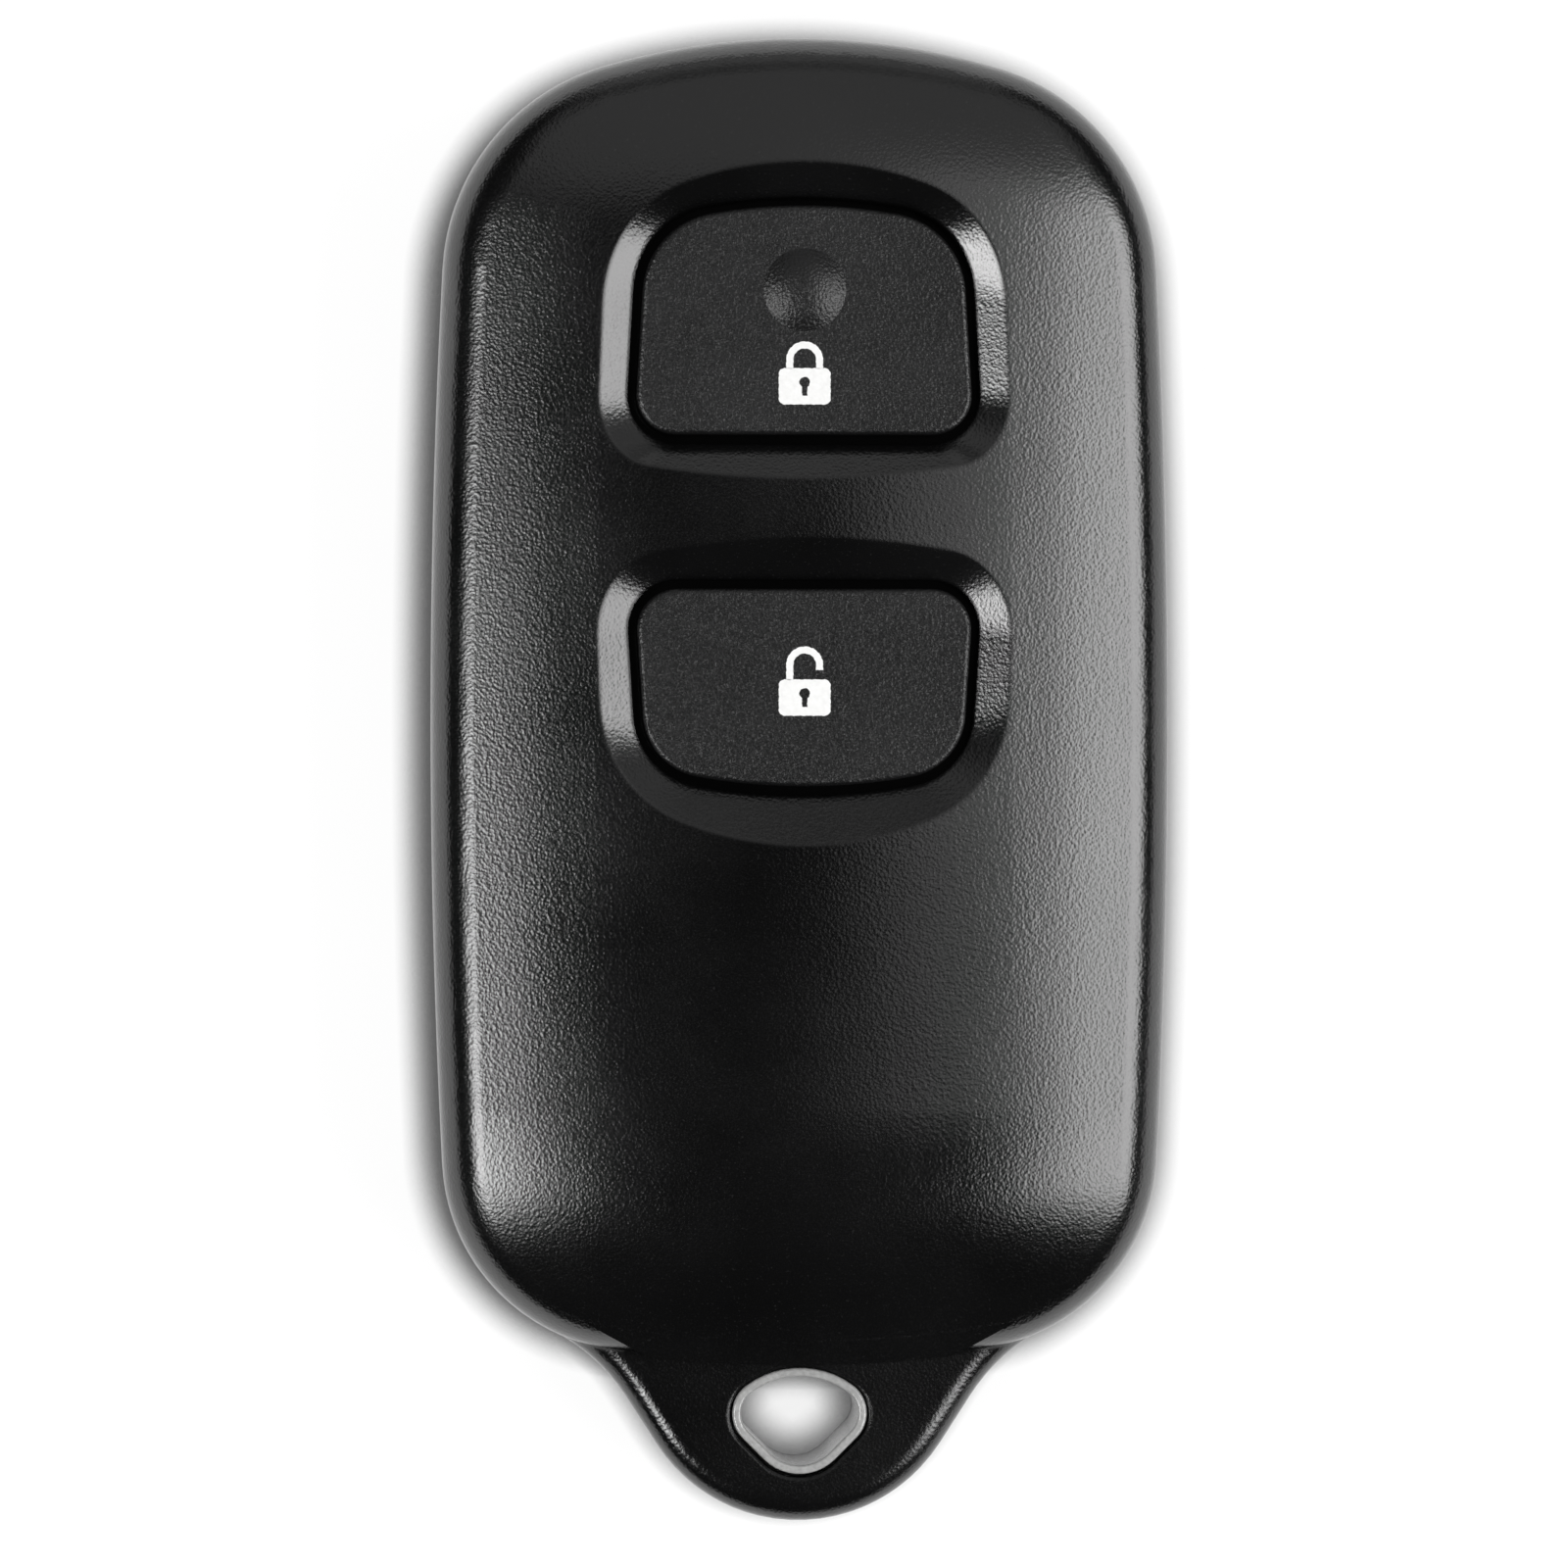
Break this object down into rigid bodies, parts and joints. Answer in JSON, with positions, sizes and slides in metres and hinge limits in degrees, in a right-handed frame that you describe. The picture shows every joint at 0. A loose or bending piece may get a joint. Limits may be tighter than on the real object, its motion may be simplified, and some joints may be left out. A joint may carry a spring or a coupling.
{
  "type": "car key fob",
  "caption": "Flat remote key fob with a crowned grained shell, sprung lock and unlock keys in sloped wells, and a tab with a rounded-triangle key-ring eye.",
  "frame": {"origin": "under the middle of the fob's length and width, on the flat back", "axes": "+Z out through the keys, +Y from the key-ring tab towards the lock key, +X to the right"},
  "size_m": [0.036, 0.0723, 0.013],
  "materials": {
    "case_plastic": "moulded black plastic with a fine leather grain",
    "key_plastic": "moulded near-black plastic, fine matt spark texture",
    "silicone": "dark grey silicone, satin",
    "board_laminate": "green solder mask over glass laminate",
    "steel": "bright zinc-plated steel",
    "spring_steel": "nickel-plated spring strip",
    "switch_plastic": "black switch moulding",
    "plunger_plastic": "ivory plunger moulding",
    "tinned_metal": "tinned leads",
    "cell_steel": "polished cell can and cap",
    "gasket_plastic": "grey sealing gasket",
    "electrode": "pressed electrode powder",
    "chip_plastic": "black package moulding",
    "ceramic_tan": "capacitor ceramic",
    "ceramic_black": "resistor glaze",
    "trimmer_plastic": "beige trimmer base",
    "brass": "brass rotor",
    "copper": "tinned copper strip"
  },
  "bodies": {
    "case": {"front_cover": "case_plastic", "rear_cover": "case_plastic", "button_pad": "silicone", "circuit_board": "board_laminate", "board_screws": "steel", "cell_can": "cell_steel", "cell_cap": "cell_steel", "cell_gasket": "gasket_plastic", "cell_electrodes": "electrode", "positive_contact": "spring_steel", "negative_contact": "spring_steel", "encoder_chip": "chip_plastic", "encoder_legs": "tinned_metal", "memory_chip": "chip_plastic", "memory_legs": "tinned_metal", "radio_resonator": "cell_steel", "trimmer_base": "trimmer_plastic", "trimmer_rotor": "brass", "loop_antenna": "copper", "chip_resistors": "ceramic_black", "chip_capacitors": "ceramic_tan", "transistors": "chip_plastic", "lock_switch_base": "switch_plastic", "lock_switch_terminals": "tinned_metal", "lock_snap_dome": "spring_steel", "lock_switch_cover": "steel", "unlock_switch_base": "switch_plastic", "unlock_switch_terminals": "tinned_metal", "unlock_snap_dome": "spring_steel", "unlock_switch_cover": "steel"},
    "lock_key": {"lock_button": "key_plastic"},
    "unlock_key": {"unlock_button": "key_plastic"},
    "lock_plunger": {"lock_switch_plunger": "plunger_plastic"},
    "unlock_plunger": {"unlock_switch_plunger": "plunger_plastic"}
  },
  "joints": [
    {"name": "lock_press", "type": "slide", "parent": "case", "child": "lock_key", "axis": [0, 0, -1], "range_m": [0, 0.0005], "stiffness_N_per_m": 600, "springref_m": -0.0005, "deforming": ["button_pad"]},
    {"name": "unlock_press", "type": "slide", "parent": "case", "child": "unlock_key", "axis": [0, 0, -1], "range_m": [0, 0.0005], "stiffness_N_per_m": 600, "springref_m": -0.0005, "deforming": ["button_pad"]},
    {"name": "lock_switch_travel", "type": "slide", "parent": "case", "child": "lock_plunger", "axis": [0, 0, -1], "range_m": [0, 0.00025], "deforming": ["lock_snap_dome"]},
    {"name": "unlock_switch_travel", "type": "slide", "parent": "case", "child": "unlock_plunger", "axis": [0, 0, -1], "range_m": [0, 0.00025], "deforming": ["unlock_snap_dome"]}
  ],
  "couplings": [
    {"joint": "lock_switch_travel", "follows": "lock_press", "ratio": 0.5},
    {"joint": "unlock_switch_travel", "follows": "unlock_press", "ratio": 0.5}
  ]
}
